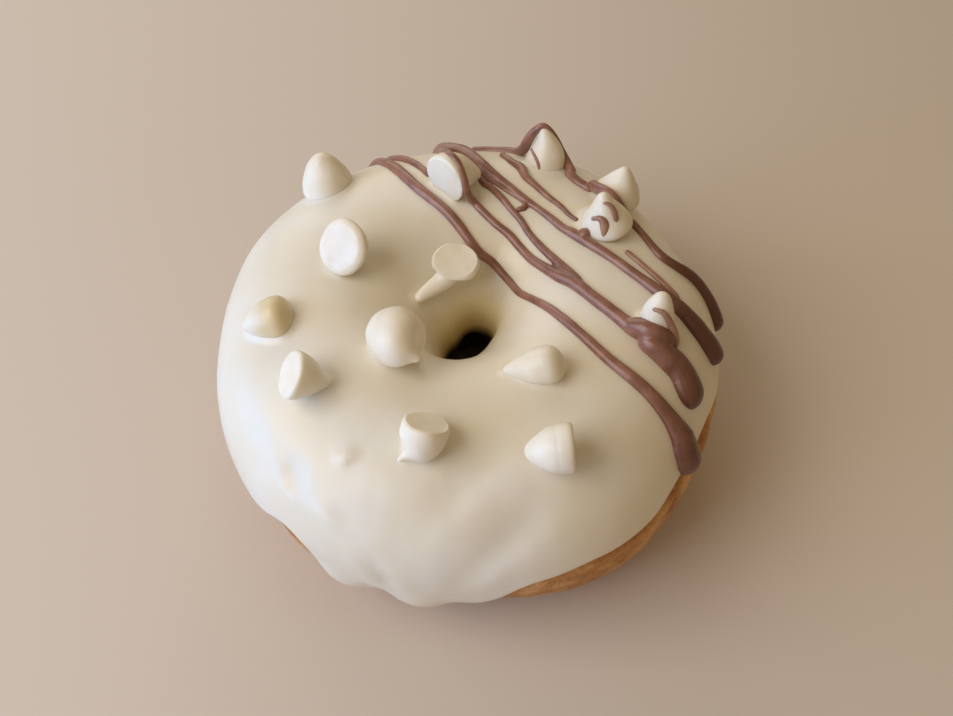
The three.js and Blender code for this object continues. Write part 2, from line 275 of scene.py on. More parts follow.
def chipLook():
    look = Look("whiteChocolate", chipFinish)
    look.set("Base Color", look.patches(chipGrain, chipColours["body"], chipColours["rubbed"]))
    look.ripple(chipGrain)
    return look.material


# The chip under a skin of icing is pale at its tip and yellower towards its foot: partly its own
# yellow through the icing, partly painted light on the tip, which faces the window, and painted
# shade on the body
coatedColours = {"nub": (0.83, 0.785, 0.68, 1), "body": (0.74, 0.63, 0.40, 1),
                 "from": -38.0 * mm, "to": -34.5 * mm}
coatedGrain = {"gloss": 6 * mm, "roughness": (0.28, 0.38), "ripple": 5 * mm, "rippleDetail": 2.0,
               "depth": 0.08 * mm}


def coatedChipLook():
    look = Look("coatedChip", icingFinish)
    # painted light on the tip and painted shade on the body, from left to right
    across = look.mask(look.axis("X"), coatedColours["from"], coatedColours["to"])
    look.set("Base Color", look.blend(across, coatedColours["nub"], coatedColours["body"]))
    look.ripple(coatedGrain)
    return look.material


# Painted shade: the chocolate is painted darker on the way out to the right, on the flank that is in
# shade
drizzleColours = {"dark": (0.22, 0.093, 0.06, 1), "light": (0.33, 0.16, 0.115, 1),
                  "ends": (0.11, 0.039, 0.023, 1), "from": 26 * mm, "to": 41 * mm}
thinColours = {"dark": (0.30, 0.15, 0.10, 1), "light": (0.42, 0.25, 0.17, 1),
               "ends": (0.36, 0.19, 0.13, 1), "from": 27 * mm, "to": 44 * mm}
drizzleFinish = {"Subsurface Weight": 0.08, "Subsurface Radius": (1.0, 0.5, 0.3),
                 "Subsurface Scale": 1.0 * mm, "Coat Weight": 0.22, "Coat Roughness": 0.26}
drizzleGrain = {"patch": 3 * mm, "patchEdges": (0.3, 0.7), "gloss": 1.5 * mm,
                "roughness": (0.25, 0.37), "ripple": 1.2 * mm, "rippleDetail": 2.0,
                "depth": 0.03 * mm}


def drizzleLook(name, colours):
    look = Look(name, drizzleFinish)
    surface = look.patches(drizzleGrain, colours["dark"], colours["light"])
    # painted shade, mixed in towards the right
    across = look.mask(look.axis("X"), colours["from"], colours["to"])
    look.set("Base Color", look.blend(across, surface, colours["ends"]))
    look.ripple(drizzleGrain)
    return look.material


# The baked crust, from brown to pale, and painted shade inside the hole, which is dark where it lies
# in shadow
doughColours = {"crust": [(0.30, (0.30, 0.11, 0.03, 1)), (0.48, (0.52, 0.24, 0.07, 1)),
                          (0.66, (0.72, 0.42, 0.17, 1))], "hole": (0.02, 0.008, 0.004, 1)}
doughFinish = {"Subsurface Weight": 0.1, "Subsurface Radius": (1.0, 0.5, 0.2),
               "Subsurface Scale": 1.5 * mm}
doughGrain = {"tone": 5 * mm, "toneDetail": 6.0, "toneShare": 0.7, "pores": 0.7 * mm,
              "poreDetail": 3.0, "roughness": (0.5, 0.75), "depth": 0.25 * mm}
holeShade = {"inner": 8.0 * mm, "outer": 14.0 * mm}


def doughLook():
    look = Look("friedDough", doughFinish)
    tone = look.cloud(doughGrain["tone"], doughGrain["toneDetail"])
    pores = look.cloud(doughGrain["pores"], doughGrain["poreDetail"])
    share = doughGrain["toneShare"]
    crust = look.ramp(tone * share + pores * (1 - share), doughColours["crust"])
    outside = look.mask(look.fromHole(), holeShade["inner"] ** 2, holeShade["outer"] ** 2)
    # painted shade on the dough inside the hole
    look.set("Base Color", look.blend(outside, doughColours["hole"], crust))
    lowest, highest = doughGrain["roughness"]
    look.set("Roughness", lowest + (highest - lowest) * pores)
    look.bump(pores, doughGrain["depth"])
    return look.material


# Camera, floor and lights

camera = {"elevation": 54, "distance": 182 * mm, "lens": 36, "sensor": 36, "height": 18 * mm,
          "aside": 1.3 * mm}


def makeCamera():
    elevation = math.radians(camera["elevation"])
    middle = (cadBox[0] + cadBox[1]) / 2
    target = Vector((middle.x + camera["aside"], middle.y, camera["height"]))
    away = Vector((0, -math.cos(elevation), math.sin(elevation)))
    bpy.ops.object.camera_add(location=target + away * camera["distance"])
    eye = bpy.context.object
    eye.rotation_euler = (math.radians(90) - elevation, 0, 0)
    eye.data.lens = camera["lens"]
    eye.data.sensor_width = camera["sensor"]
    eye.data.clip_start = 1 * mm
    bpy.context.scene.camera = eye


# Each light stands off the middle of the floor, and its power is in watts
studio = {
    "floor": {"Base Color": (0.66, 0.58, 0.49, 1), "Roughness": 0.6},
    "floorSize": 4,
    "window": {"way": (-1.0, -0.25, 0.18), "distance": 0.55, "size": (0.6, 0.3), "power": 2.4,
               "colour": (0.1, 0.43, 1.0)},
    "frontWindow": {"way": (-0.75, -0.75, 0.2), "distance": 0.6, "size": (0.5, 0.3), "power": 0.45,
                    "colour": (0.85, 0.8, 1.0)},
    "skylight": {"way": (-0.7, -0.25, 0.75), "distance": 0.6, "size": (0.5, 0.4), "power": 2.1,
                 "colour": (1.0, 0.93, 0.87)},
    "backlight": {"way": (-0.3, 1.0, 0.5), "distance": 0.7, "size": (0.6, 0.4), "power": 1.05,
                  "colour": (1.0, 0.99, 0.95)},
    "world": {"colour": (1.0, 0.73, 0.41, 1), "strength": 0.3},
}


def makeFloor():
    bpy.ops.mesh.primitive_plane_add(size=studio["floorSize"])
    floor = bpy.context.object
    floor.name = "floor"
    floor.data.materials.append(Look("paleFloor", studio["floor"]).material)


def makeLamp(name):
    lamp = studio[name]
    way = Vector(lamp["way"]).normalized()
    bpy.ops.object.light_add(type="AREA", location=way * lamp["distance"])
    light = bpy.context.object
    light.name = name
    light.rotation_euler = way.to_track_quat("Z", "Y").to_euler()
    light.data.shape = "RECTANGLE"
    light.data.size, light.data.size_y = lamp["size"]
    light.data.energy = lamp["power"]
    light.data.color = lamp["colour"]


def makeStudio():
    makeFloor()
    for name in ("window", "frontWindow", "skylight", "backlight"):
        makeLamp(name)
    world = bpy.data.worlds.new("studio")
    bpy.context.scene.world = world
    world.use_nodes = True
    background = world.node_tree.nodes["Background"]
    background.inputs["Color"].default_value = studio["world"]["colour"]
    background.inputs["Strength"].default_value = studio["world"]["strength"]
    bpy.context.scene.view_settings.view_transform = "Standard"


makeCamera()
makeStudio()
print("camera and studio are up")


# White chocolate chips. Each outline is a list of (share of the length, share of the radius)

outlines = {
    "dome": ((0.02, 1.0), (0.14, 1.0), (0.3, 0.96), (0.46, 0.87), (0.62, 0.74), (0.76, 0.56),
             (0.87, 0.37), (0.95, 0.21), (0.99, 0.1)),
    "cone": ((0.02, 1.0), (0.12, 0.99), (0.26, 0.88), (0.42, 0.73), (0.58, 0.56), (0.73, 0.4),
             (0.86, 0.27), (0.95, 0.17), (0.99, 0.08)),
    "fat": ((0.02, 1.0), (0.12, 0.99), (0.26, 0.92), (0.42, 0.8), (0.58, 0.64), (0.73, 0.46),
            (0.86, 0.29), (0.95, 0.17), (0.99, 0.08)),
    "skirt": ((0.02, 1.0), (0.1, 0.97), (0.24, 0.92), (0.4, 0.86), (0.55, 0.77), (0.69, 0.64),
              (0.8, 0.51), (0.89, 0.38), (0.96, 0.23), (0.99, 0.1)),
    "blunt": ((0.02, 1.0), (0.14, 0.98), (0.3, 0.92), (0.46, 0.83), (0.62, 0.72), (0.76, 0.6),
              (0.87, 0.46), (0.94, 0.31), (0.985, 0.15)),
    "nibbed": ((0.02, 1.0), (0.12, 1.02), (0.28, 1.0), (0.44, 0.94), (0.58, 0.83), (0.7, 0.67),
               (0.79, 0.5), (0.86, 0.35), (0.92, 0.24), (0.97, 0.17), (0.99, 0.1)),
    "egg": ((0.015, 0.33), (0.05, 0.58), (0.1, 0.78), (0.17, 0.93), (0.27, 1.0), (0.42, 0.95),
            (0.58, 0.82), (0.74, 0.6), (0.86, 0.38), (0.94, 0.22), (0.99, 0.1)),
    "pebble": ((0.03, 0.84), (0.09, 0.95), (0.2, 1.0), (0.36, 0.93), (0.52, 0.78), (0.68, 0.58),
               (0.82, 0.37), (0.93, 0.2), (0.99, 0.1)),
    "tailed": ((0.02, 1.0), (0.1, 1.0), (0.17, 0.9), (0.25, 0.66), (0.38, 0.5), (0.55, 0.43),
               (0.72, 0.36), (0.88, 0.28), (0.97, 0.2), (0.995, 0.1)),
    "cup": ((0.02, 1.0), (0.12, 1.01), (0.28, 1.0), (0.42, 0.95), (0.54, 0.83), (0.64, 0.62),
            (0.72, 0.38), (0.8, 0.23), (0.9, 0.15), (0.98, 0.1)),
    "grooved": ((0.02, 1.0), (0.16, 1.0), (0.27, 0.98), (0.32, 0.95), (0.37, 0.95), (0.5, 0.9),
                (0.64, 0.78), (0.77, 0.6), (0.88, 0.41), (0.95, 0.26), (0.99, 0.14)),
}
# The foot, the tip and the bend are in millimetres from the middle of the chip's own box
chips = {
    "chip1": {"node": "chip_1", "foot": (0.3, -0.3, -3.2), "tip": (-1.0, 1.8, 4.0), "radius": 5.2,
              "outline": "skirt"},
    "chip2": {"node": "chip_2", "foot": (-0.9, -1.5, 1.3), "tip": (1.8, 1.7, -2.3), "radius": 5.15,
              "outline": "pebble"},
    "chip3": {"node": "chip_3", "foot": (1.6, 0.4, 2.3), "tip": (-5.6, -4.9, -2.2), "radius": 4.45,
              "outline": "tailed", "bend": (1.3, 0.6, -2.4)},
    "chip4": {"node": "chip_4", "foot": (4.0, -0.1, -0.7), "tip": (-5.2, -0.5, -3.5), "radius": 4.2,
              "outline": "egg", "coated": True},
    "chip5": {"node": "chip_5", "foot": (-1.6, -0.3, 0.8), "tip": (4.4, 0.7, -3.4), "radius": 4.15,
              "outline": "fat"},
    "chip6": {"node": "chip_6", "foot": (-0.1, 1.6, -1.6), "tip": (4.3, -5.4, 0.7), "radius": 4.95,
              "outline": "nibbed", "bend": (-0.9, -3.6, 2.9)},
    "chip7": {"node": "chip_7", "foot": (5.0, 0.6, -0.7), "tip": (-5.1, 1.1, -3.3), "radius": 3.4,
              "outline": "egg"},
    "chip8": {"node": "chip_8", "foot": (0.7, 0.6, 1.6), "tip": (-4.0, -3.7, -2.5), "radius": 3.85,
              "outline": "cup", "bend": (-0.4, -1.9, -2.4)},
    "chip9": {"node": "chip_9", "foot": (3.4, -0.3, 1.0), "tip": (-4.1, -0.6, 0.1), "radius": 4.0,
              "outline": "grooved"},
    "chip10": {"node": "chip_10", "foot": (-1.7, -1.1, 0.0), "tip": (5.3, 2.4, -2.2), "radius": 4.7,
               "outline": "dome", "bend": (0.3, 1.1, -0.15)},
    "chip11": {"node": "chip_11", "foot": (0.1, -0.2, -3.4), "tip": (-0.6, 1.9, 4.0), "radius": 4.0,
               "outline": "fat", "bend": (0.7, 0.7, 0.6)},
    "chip12": {"node": "chip_12", "foot": (-0.2, -0.1, -3.4), "tip": (1.0, 1.1, 3.5), "radius": 4.7,
               "outline": "fat"},
    "chip13": {"node": "chip_13", "foot": (0.1, -0.1, -3.5), "tip": (-1.3, 1.2, 3.7), "radius": 5.0,
               "outline": "cone"},
    "chip14": {"node": "chip_14", "foot": (0.0, -0.1, -3.6), "tip": (0.2, 1.0, 3.9), "radius": 3.25,
               "outline": "blunt"},
}
chipShape = {"sides": 20, "footShare": 0.92, "footInset": 0.16, "footFacing": -0.9,
             "footDepth": 0.01, "levels": 2, "wobble": 0.22 * mm, "wobbleSize": 3.5 * mm,
             "wobbleShift": 50}


# A disc is drawn up into rings that follow the outline, from the foot at 0 to the tip at 1
def drawUpChip(name, outline):
    bpy.ops.object.select_all(action="DESELECT")
    width = outline[0][1] * chipShape["footShare"]
    bpy.ops.mesh.primitive_circle_add(vertices=chipShape["sides"], radius=width, fill_type="NGON")
    piece = bpy.context.object
    piece.name = name
    bpy.ops.object.mode_set(mode="EDIT")
    bpy.ops.mesh.select_mode(type="FACE")
    bpy.ops.mesh.select_all(action="SELECT")
    height = 0
    for along, across in outline:
        bpy.ops.mesh.extrude_region_move(TRANSFORM_OT_translate={"value": (0, 0, along - height)})
        scale = across / width
        bpy.ops.transform.resize(value=(scale, scale, 1), center_override=(0, 0, along))
        height, width = along, across
    bpy.ops.mesh.select_all(action="DESELECT")
    bpy.ops.object.mode_set(mode="OBJECT")
    for face in piece.data.polygons:
        facesDown = face.normal.z < chipShape["footFacing"]
        face.select = facesDown and abs(face.center.z) < chipShape["footDepth"]
    bpy.ops.object.mode_set(mode="EDIT")
    bpy.ops.mesh.inset(thickness=chipShape["footInset"] * outline[0][1])
    bpy.ops.mesh.select_all(action="SELECT")
    bpy.ops.mesh.normals_make_consistent(inside=False)
    bpy.ops.object.mode_set(mode="OBJECT")
    return piece


def makeChip(name, chip):
    lowest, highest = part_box(chip["node"])
    middle = (lowest + highest) / 2
    foot, tip = (middle + Vector(chip[end]) * mm for end in ("foot", "tip"))
    bend = middle + Vector(chip["bend"]) * mm if "bend" in chip else (foot + tip) / 2
    radius = chip["radius"] * mm
    piece = drawUpChip(name, outlines[chip["outline"]])
    subdivide(piece, chipShape["levels"])
    shift = Vector((lowest.x, lowest.y, 0)) * chipShape["wobbleShift"]
    footTurn = (bend - foot).to_track_quat("Z", "Y")

    def lay(place, normal):
        share = place.z
        line = foot * (1 - share) ** 2 + bend * 2 * share * (1 - share) + tip * share ** 2
        heading = (bend - foot) * (1 - share) + (tip - bend) * share
        lean = (bend - foot).rotation_difference(heading)
        return line + lean @ (footTurn @ Vector((place.x, place.y, 0))) * radius - place

    def wobble(place, normal):
        return normal * chipShape["wobble"] * noise.noise(place / chipShape["wobbleSize"] + shift)

    sculpt(piece, lay)
    sculpt(piece, wobble)
    return piece


chipPieces = {name: makeChip(name, chip) for name, chip in chips.items()}
print("chips are made:", len(chipPieces))


# The icing, which flows up a little round each chip. Its faces are made finer near the chips

icing = {"levels": 2, "finerNear": (3.5 * mm, 2.0 * mm), "joinReach": 1.5 * mm,
         "joinHeight": 0.5 * mm, "closeGap": 0.45 * mm, "waveHeight": 0.16 * mm, "waveSize": 11 * mm}
# Where the icing ran and set: (x, y, z, reach, push) in millimetres, pushed out or, if negative, in
icingSwells = {
    "drip": [(-8.3, -45.5, 11.5, 5.5, 0.9), (-15.5, -44.2, 12.5, 4.5, -0.8),
             (-1.5, -46.5, 11.0, 4.0, -0.3)],
    "corner": [(-22.5, -42.5, 12.5, 6.5, 0.6), (-29.5, -36.5, 17.0, 5.0, -0.6)],
    "nub": [(-19.8, -32.1, 35.4, 2.0, 0.5), (-18.4, -31.3, 35.7, 2.0, 0.35)],
    "dimple": [(-27.6, -32.8, 31.6, 4.0, -0.6)],
    "crescent": [(-31.7, -29.2, 31.5, 2.4, 0.25), (-30.8, -31.5, 30.6, 2.4, 0.25),
                 (-29.7, -33.7, 29.7, 2.4, 0.25), (-28.5, -35.4, 29.0, 2.4, 0.25)],
    "shortRidge": [(-23.5, -37.9, 30.3, 2.6, 0.25), (-22.3, -39.0, 29.8, 2.6, 0.25),
                   (-21.0, -40.0, 29.3, 2.6, 0.2)],
    "notch": [(-14.9, -44.5, 23.2, 3.0, -0.35), (-13.8, -45.1, 20.4, 3.2, -0.5),
              (-12.9, -45.5, 18.0, 3.0, -0.4)],
    "upperTrough": [(4.8, -29.9, 37.1, 5.0, -0.15), (2.6, -32.5, 36.6, 5.0, -0.2),
                    (0.3, -34.8, 36.0, 5.0, -0.2), (-1.9, -37.0, 35.0, 5.0, -0.2),
                    (-4.0, -38.9, 33.9, 5.0, -0.15)],
    "ridge": [(8.5, -34.9, 35.8, 4.5, 0.14), (6.0, -36.9, 35.0, 4.5, 0.18),
              (3.4, -38.7, 34.1, 4.5, 0.18), (1.0, -40.5, 33.1, 4.5, 0.2),
              (-1.5, -42.3, 32.0, 4.5, 0.2), (-4.0, -43.7, 30.2, 4.5, 0.2),
              (-6.5, -44.8, 28.1, 4.5, 0.15)],
    "lowerTrough": [(10.9, -40.1, 32.2, 4.5, -0.2), (8.9, -41.5, 31.1, 4.5, -0.28),
                    (6.8, -42.8, 29.9, 4.5, -0.3), (4.7, -44.1, 28.4, 4.5, -0.3),
                    (2.6, -45.2, 26.7, 4.5, -0.3), (0.5, -46.2, 24.4, 4.5, -0.28),
                    (-1.6, -47.0, 21.9, 4.5, -0.2)],
}
# The middle of the ring's own section
ringMiddle = {"radius": 26 * mm, "height": 18.7 * mm}


def fromRing(place):
    flat = Vector((place.x, place.y, 0)).normalized() * ringMiddle["radius"]
    return place - Vector((flat.x, flat.y, ringMiddle["height"]))


# Makes the faces finer on the outside, where they are within reach of the chips
def refine(piece, near, reach):
    for face in piece.data.polygons:
        outside = face.normal.dot(fromRing(face.center)) > 0
        face.select = outside and near.find_nearest(face.center, reach)[0] is not None
    takeUp(piece)
    bpy.ops.object.mode_set(mode="EDIT")
    bpy.ops.mesh.subdivide(number_cuts=1)
    bpy.ops.mesh.vertices_smooth(factor=0.5, repeat=2)
    bpy.ops.mesh.select_all(action="DESELECT")
    bpy.ops.object.mode_set(mode="OBJECT")


# The hole is drawn out to the front, most of all at the left. Moves and reach are in millimetres
throatPulls = [
    {"move": (0.3, -1.3), "turn": 300, "sharpness": 1},
    {"move": (-0.5, -2.9), "turn": 240, "sharpness": 6},
]
throatReach = {"inner": 6.5, "outer": 15.0, "low": 6.0, "high": 16.0}


def smoothShare(value, low, high):
    share = min(1, max(0, (value - low) / (high - low)))
    return share * share * (3 - 2 * share)


def pullThroat(place, normal):
    across, along = place.x - holeAxis["x"], place.y - holeAxis["y"]
    away = math.hypot(across, along) / mm
    near = 1 - smoothShare(away, throatReach["inner"], throatReach["outer"])
    near *= smoothShare(place.z / mm, throatReach["low"], throatReach["high"])
    move = Vector()
    for pull in throatPulls:
        facing = max(0, math.cos(math.atan2(along, across) - math.radians(pull["turn"])))
        move += Vector((*pull["move"], 0)) * mm * near * facing ** pull["sharpness"]
    return move


# Pushes the outside in or out round each place
def swell(piece, swells):
    tree = KDTree(len(piece.data.vertices))
    for vertex in piece.data.vertices:
        tree.insert(vertex.co, vertex.index)
    tree.balance()
    moves = {}
    for x, y, z, reach, push in swells:
        for place, index, distance in tree.find_range(Vector((x, y, z)) * mm, reach * mm):
            normal = piece.data.vertices[index].normal
            if normal.dot(fromRing(place)) > 0:
                share = (1 - (distance / (reach * mm)) ** 2) ** 2
                moves[index] = moves.get(index, Vector()) + normal * push * mm * share
    for index, move in moves.items():
        piece.data.vertices[index].co += move
    piece.data.update()


def makeIcing():
    piece = copyOfNode("icing", "white_icing")
    subdivideThrough(piece, icing["levels"])
    near = treeOf(*chipPieces.values())
    for reach in icing["finerNear"]:
        refine(piece, near, reach)
    joins = [treeOf(chip) for chip in chipPieces.values()]
    reach = icing["joinReach"]

    def flow(place, normal):
        if normal.dot(fromRing(place)) < 0:
            return normal * icing["closeGap"]
        rise = 0
        for tree in joins:
            nearest, facing, _, distance = tree.find_nearest(place, reach)
            if nearest is not None:
                inside = (place - nearest).dot(facing) < 0
                share = 1 if inside else (1 - distance / reach) ** 2
                rise = max(rise, icing["joinHeight"] * share)
        return normal * rise

    def waves(place, normal):
        return normal * icing["waveHeight"] * noise.noise(place / icing["waveSize"])

    sculpt(piece, pullThroat)
    sculpt(piece, waves)
    sculpt(piece, flow)
    for swells in icingSwells.values():
        swell(piece, swells)
    return piece


icingPiece = makeIcing()
icingTree = treeOf(icingPiece)
print("icing is made:", len(icingPiece.data.polygons), "faces")


# The dough, which stays flat where it rests on the floor

dough = {"levels": 2, "unevenness": 0.25 * mm, "unevenSize": 6 * mm, "unevenFrom": 1 * mm}
# Where the bare dough bulges out past the icing's edge, as in icingSwells
doughSwells = [(-29.5, -36.0, 14.0, 6.0, 0.5), (-25.5, -39.0, 13.0, 6.0, 0.4)]


def makeDough():
    piece = copyOfNode("dough", "dough_ring")
    subdivideThrough(piece, dough["levels"])

    def roughen(place, normal):
        push = normal * dough["unevenness"] * noise.noise(place / dough["unevenSize"])
        return push if place.z > dough["unevenFrom"] else Vector()

    def keepAboveFloor(place, normal):
        return Vector((0, 0, max(0, -place.z)))

    sculpt(piece, roughen)
    sculpt(piece, pullThroat)
    swell(piece, doughSwells)
    sculpt(piece, keepAboveFloor)
    return piece


doughPiece = makeDough()
print("dough is made")


# Drizzle strands in millimetres: (x, y, width) lying on the icing, (x, y, z, width) climbing

strands = {
    "drizzleInner": {"node": "drizzle_inner_strand", "lying": [
        [(-20.9, 42.2, 2.6), (-18.2, 38.4, 2.3), (-15.2, 33.6, 2.3), (-10.1, 26.1, 2.3),
         (-4.1, 19.9, 2.1), (0.9, 13.8, 1.9), (4.4, 11.4, 1.7), (7.2, 8.1, 1.6), (9.2, 4.5, 1.5),
         (11.4, 1.5, 1.5), (14.2, -2.3, 1.7), (15.9, -4.8, 1.8), (19.5, -9.8, 2.0),
         (23.5, -14.7, 2.2), (29.1, -19.6, 2.5), (32.7, -23.0, 3.2), (34.3, -24.6, 4.3),
         (35.3, -25.8, 5.7), (36.0, -27.0, 5.0)],
    ], "climbing": [
        [(33.6, -24.4, 31.2, 4.8), (34.7, -25.5, 29.4, 5.6), (35.6, -26.6, 27.6, 5.8),
         (36.2, -27.4, 25.9, 5.6), (36.6, -27.9, 24.2, 4.6)],
    ]},
    "drizzleRimTwig": {"node": "drizzle_rim_twig", "lying": [
        [(-17.9, 43.2, 2.0), (-15.3, 39.0, 1.9), (-13.5, 37.1, 1.8), (-10.6, 33.7, 1.6),
         (-7.6, 29.2, 1.2)],
    ]},
    "drizzleWeb": {"node": "drizzle_forked_web", "lying": [
        [(0.1, 23.4, 1.4), (1.9, 20.9, 1.6), (4.5, 18.1, 1.6), (7.3, 15.6, 1.7), (9.5, 12.6, 1.7),
         (11.4, 9.9, 1.8), (13.8, 7.2, 2.0), (16.1, 4.8, 2.3), (18.7, 2.5, 2.5), (21.8, -1.3, 2.5),
         (25.3, -5.2, 2.7), (27.8, -7.8, 3.2), (30.1, -9.1, 3.8), (32.1, -11.5, 4.4),
         (34.8, -13.8, 5.0), (36.7, -16.6, 5.8), (37.8, -19.7, 5.7)],
        [(0.9, 32.0, 1.8), (1.6, 29.4, 1.6), (2.8, 27.0, 1.5), (4.2, 25.7, 1.5), (6.0, 23.4, 1.5),
         (7.9, 20.5, 1.4), (9.6, 18.1, 1.4), (11.0, 15.3, 1.4), (12.6, 12.7, 1.5),
         (14.2, 10.3, 1.6), (16.5, 7.1, 1.7), (18.2, 4.6, 1.9), (19.6, 2.2, 2.0)],
        [(10.4, 22.4, 1.2), (10.2, 20.8, 1.2), (8.8, 20.8, 1.2)],
        [(2.6, 30.2, 1.2), (3.6, 28.4, 1.1), (5.1, 27.0, 1.0), (6.9, 25.3, 1.0), (8.9, 23.6, 1.0),
         (10.3, 22.4, 1.1)],
        [(-6.3, 45.6, 4.0), (-4.9, 40.7, 4.2), (-1.4, 37.6, 4.0), (1.4, 33.3, 3.3),
         (4.2, 29.6, 2.5), (6.9, 26.8, 1.9), (10.3, 23.0, 1.7), (12.8, 20.6, 1.5),
         (15.0, 18.2, 1.6), (17.2, 15.5, 1.8), (18.8, 14.2, 2.2), (22.2, 11.1, 2.1),
         (25.7, 7.9, 2.0), (29.1, 4.6, 2.1), (33.3, 0.9, 2.7), (37.4, -2.4, 3.4), (40.6, -5.5, 4.0),
         (43.8, -8.0, 4.4)],
        [(19.7, 13.2, 2.4), (21.3, 13.4, 2.6), (22.2, 13.2, 2.0)],
    ], "climbing": [
        [(-5.3, 39.1, 34.9, 2.2), (-5.1, 33.8, 38.9, 2.0), (-4.7, 29.7, 43.0, 1.7),
         (-3.7, 26.9, 45.0, 1.5), (-2.3, 24.9, 45.0, 1.4), (-1.4, 23.3, 43.9, 1.4),
         (-0.8, 22.1, 42.1, 1.5), (-0.4, 21.7, 40.2, 1.5), (0.2, 22.0, 38.4, 1.6),
         (1.2, 21.7, 37.6, 1.5)],
        [(26.8, -6.9, 36.8, 2.8), (28.5, -8.1, 38.1, 3.4), (30.4, -9.4, 38.6, 3.6),
         (32.4, -10.0, 37.6, 3.6), (34.0, -10.6, 35.8, 3.4)],
        [(28.8, -9.6, 37.0, 3.4), (30.8, -11.2, 37.2, 4.0), (32.6, -12.4, 36.2, 4.4),
         (34.1, -13.9, 34.6, 4.4), (35.4, -15.9, 32.2, 3.8), (36.2, -17.4, 30.0, 3.0)],
    ]},
    "drizzleMiddle": {"node": "drizzle_middle_strand", "lying": [
        [(6.2, 37.9, 1.4), (8.3, 34.0, 1.6), (10.0, 31.7, 2.0), (10.8, 29.0, 1.8),
         (12.5, 26.6, 1.5), (14.7, 23.7, 1.3), (16.9, 21.3, 1.2), (18.5, 18.9, 1.0),
         (20.1, 17.1, 0.9)],
    ]},
    "drizzleRim": {"node": "drizzle_rim_strand", "lying": [
        [(-0.1, 43.5, 2.1), (3.5, 42.6, 2.1), (7.0, 41.3, 2.1), (9.2, 39.9, 2.2),
         (10.6, 38.6, 2.2)],
        [(18.9, 31.7, 2.3), (20.6, 28.8, 2.1), (22.4, 27.2, 2.1), (23.8, 26.1, 2.1)],
    ], "climbing": [
        [(9.6, 39.4, 34.4, 2.1), (10.6, 38.2, 36.2, 2.2), (11.2, 37.4, 38.6, 2.1),
         (12.0, 36.9, 41.0, 1.9), (13.0, 36.7, 42.6, 1.5), (14.0, 36.7, 43.3, 1.4),
         (15.0, 36.5, 42.8, 1.4), (16.0, 36.3, 41.6, 1.4), (17.0, 35.8, 40.1, 1.4),
         (18.0, 35.2, 38.2, 1.5), (18.9, 34.1, 36.9, 1.7), (19.5, 32.4, 36.4, 2.0),
         (19.9, 30.7, 36.4, 2.2)],
        [(23.3, 27.6, 37.0, 2.2), (24.0, 25.7, 37.8, 2.2), (25.1, 23.9, 38.7, 2.2),
         (26.0, 22.8, 38.9, 2.3), (26.9, 21.9, 38.5, 2.3), (27.7, 21.2, 37.8, 2.2),
         (28.5, 20.8, 36.9, 2.0), (29.4, 20.9, 35.9, 1.8)],
    ]},
    "drizzleFlank": {"node": "drizzle_flank_strand", "lying": [
        [(29.9, 19.3, 1.9), (32.1, 15.6, 1.7), (34.7, 10.9, 2.0), (37.6, 9.2, 2.4),
         (41.0, 8.6, 2.9), (43.6, 7.0, 3.5), (45.4, 4.4, 4.2), (45.9, 2.0, 4.4)],
    ]},
    "drizzleThin": {"lying": [
        [(28.2, 10.1, 1.2), (31.0, 7.0, 1.2), (34.5, 3.2, 1.3), (37.0, 0.2, 1.4)],
    ], "climbing": [
        [(22.0, 14.7, 40.5, 0.8), (23.1, 14.3, 41.2, 1.0), (24.0, 13.9, 41.0, 1.6),
         (24.4, 13.4, 40.2, 1.9), (24.4, 12.5, 38.9, 1.5), (24.2, 12.0, 37.9, 0.9)],
        [(23.8, 16.0, 43.3, 0.7), (24.9, 15.8, 43.2, 0.9), (25.8, 15.3, 42.4, 1.2),
         (26.3, 14.3, 41.1, 1.3), (26.4, 13.9, 40.3, 0.8)],
        [(12.0, 35.5, 38.7, 0.7), (12.5, 33.2, 39.2, 0.8), (13.3, 31.7, 38.4, 0.9),
         (13.5, 31.1, 37.2, 0.8)],
        [(30.4, -7.5, 42.2, 0.8), (31.9, -8.1, 42.2, 1.0), (33.1, -8.5, 40.9, 1.2),
         (34.2, -8.9, 38.6, 1.5), (34.9, -9.4, 36.4, 1.7), (34.8, -10.6, 35.3, 1.5)],
    ]},
}
# How a strand sits on the icing, how round it is, and where a drop falls from and ends past the rim
bead = {"heightShare": 0.5, "highest": 2.4 * mm, "root": 0.5 * mm, "pointsPerSpan": 12,
        "tipShare": 0.15, "rounding": 7, "unevenness": 0.07, "unevenSize": 3 * mm,
        "voxel": 0.2 * mm, "smoothing": 5}
drop = {"from": 80 * mm, "pastRim": 24 * mm}


# A smooth line through the points, with all three figures of each point flowing together
def smoothLine(points):
    line = []
    for index in range(len(points) - 1):
        before, start, end, after = (
            Vector(points[min(max(index + step, 0), len(points) - 1)]) for step in (-1, 0, 1, 2))
        for step in range(bead["pointsPerSpan"]):
            share = step / bead["pointsPerSpan"]
            slopes = end - before + share * (2 * before - 5 * start + 4 * end - after
                                             + share * (3 * (start - end) + after - before))
            line.append(start + 0.5 * share * slopes)
    return line + [Vector(points[-1])]


# The point and normal where a drop falling at x, y lands, or runs to if it falls just past the rim
def landing(x, y):
    place, normal, _, _ = icingTree.ray_cast(Vector((x, y, drop["from"])), Vector((0, 0, -1)))
    return (place, normal) if place else icingTree.find_nearest(Vector((x, y, drop["pastRim"])))[:2]


# The middle and the radius of a round bead that shows the given width above the icing
def beadPlace(x, y, width):
    place, normal = landing(x * mm, y * mm)
    width = width * mm * (1 + bead["unevenness"] * noise.noise(place / bead["unevenSize"]))
    height = min(width * bead["heightShare"], bead["highest"])
    radius = (width ** 2 / 4 + height ** 2) / (2 * height)
    return place - normal * (radius - height), radius


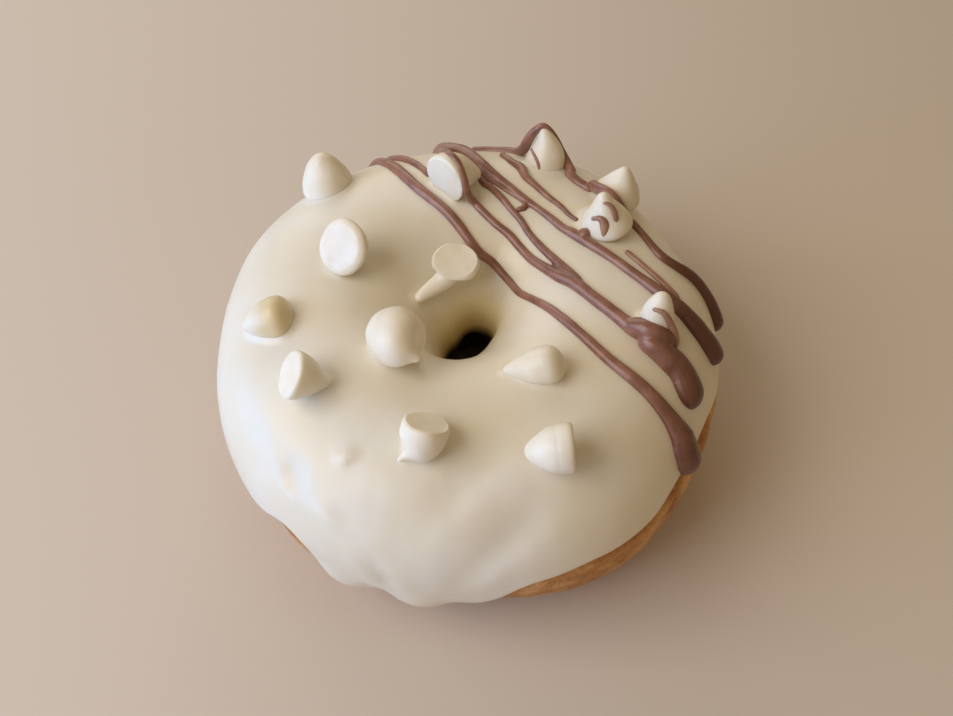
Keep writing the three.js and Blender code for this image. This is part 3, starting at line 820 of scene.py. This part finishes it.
# Both ends of a strand are rounded off
def roundEnds(path):
    lengths = [0]
    for (start, _), (end, _) in zip(path, path[1:]):
        lengths.append(lengths[-1] + (end - start).length)
    rounded = []
    for (place, radius), length in zip(path, lengths):
        share = min(1, min(length, lengths[-1] - length) / radius)
        rounded.append((place, radius * max(bead["tipShare"], math.sqrt(1 - (1 - share) ** 2))))
    return rounded


def tube(path):
    line = bpy.data.curves.new("strand", "CURVE")
    line.dimensions = "3D"
    line.bevel_depth = 1
    line.bevel_resolution = bead["rounding"]
    line.use_fill_caps = True
    spline = line.splines.new("POLY")
    spline.points.add(len(path) - 1)
    for point, (place, radius) in zip(spline.points, path):
        point.co = (*place, 1)
        point.radius = radius
    piece = bpy.data.objects.new("strand", line)
    bpy.context.scene.collection.objects.link(piece)
    takeUp(piece)
    bpy.ops.object.convert(target="MESH")
    return bpy.context.object


# What is sunk deeper than the root is brought up to it
def flattenRoot(place, normal):
    nearest, facing, _, _ = icingTree.find_nearest(place)
    depth = (place - nearest).dot(facing)
    return facing * (-bead["root"] - depth) if depth < -bead["root"] else Vector()


def makeStrand(name, strand):
    tubes = []
    for points in strand.get("lying", []):
        path = [beadPlace(*point) for point in smoothLine(points)]
        tubes.append(tube(roundEnds(path)))
    for points in strand.get("climbing", []):
        path = [(point.xyz * mm, point.w / 2 * mm) for point in smoothLine(points)]
        tubes.append(tube(roundEnds(path)))
    takeUp(*tubes)
    if len(tubes) > 1:
        bpy.ops.object.join()
    piece = bpy.context.object
    piece.name = name
    sculpt(piece, flattenRoot)
    useModifier(piece, "REMESH", {"mode": "VOXEL", "voxel_size": bead["voxel"]})
    useModifier(piece, "SMOOTH", {"factor": 0.5, "iterations": bead["smoothing"]})
    return piece


strandPieces = {name: makeStrand(name, strand) for name, strand in strands.items()}
print("drizzle is made:", sum(len(piece.data.polygons) for piece in strandPieces.values()), "faces")


# Finishes

chipMaterial = chipLook()
coatedMaterial = coatedChipLook()
drizzleMaterial = drizzleLook("milkChocolate", drizzleColours)
thinMaterial = drizzleLook("thinChocolate", thinColours)
finishPiece(doughPiece, doughLook(), "dough", "dough_ring")
finishPiece(icingPiece, icingLook(), "icing", "white_icing")
for name, chip in chips.items():
    material = coatedMaterial if "coated" in chip else chipMaterial
    finishPiece(chipPieces[name], material, "chips", chip["node"])
for name, strand in strands.items():
    if "node" in strand:
        finishPiece(strandPieces[name], drizzleMaterial, "drizzle", strand["node"])
    else:
        finishPiece(strandPieces[name], thinMaterial, "drizzle")
print("finishes are on")
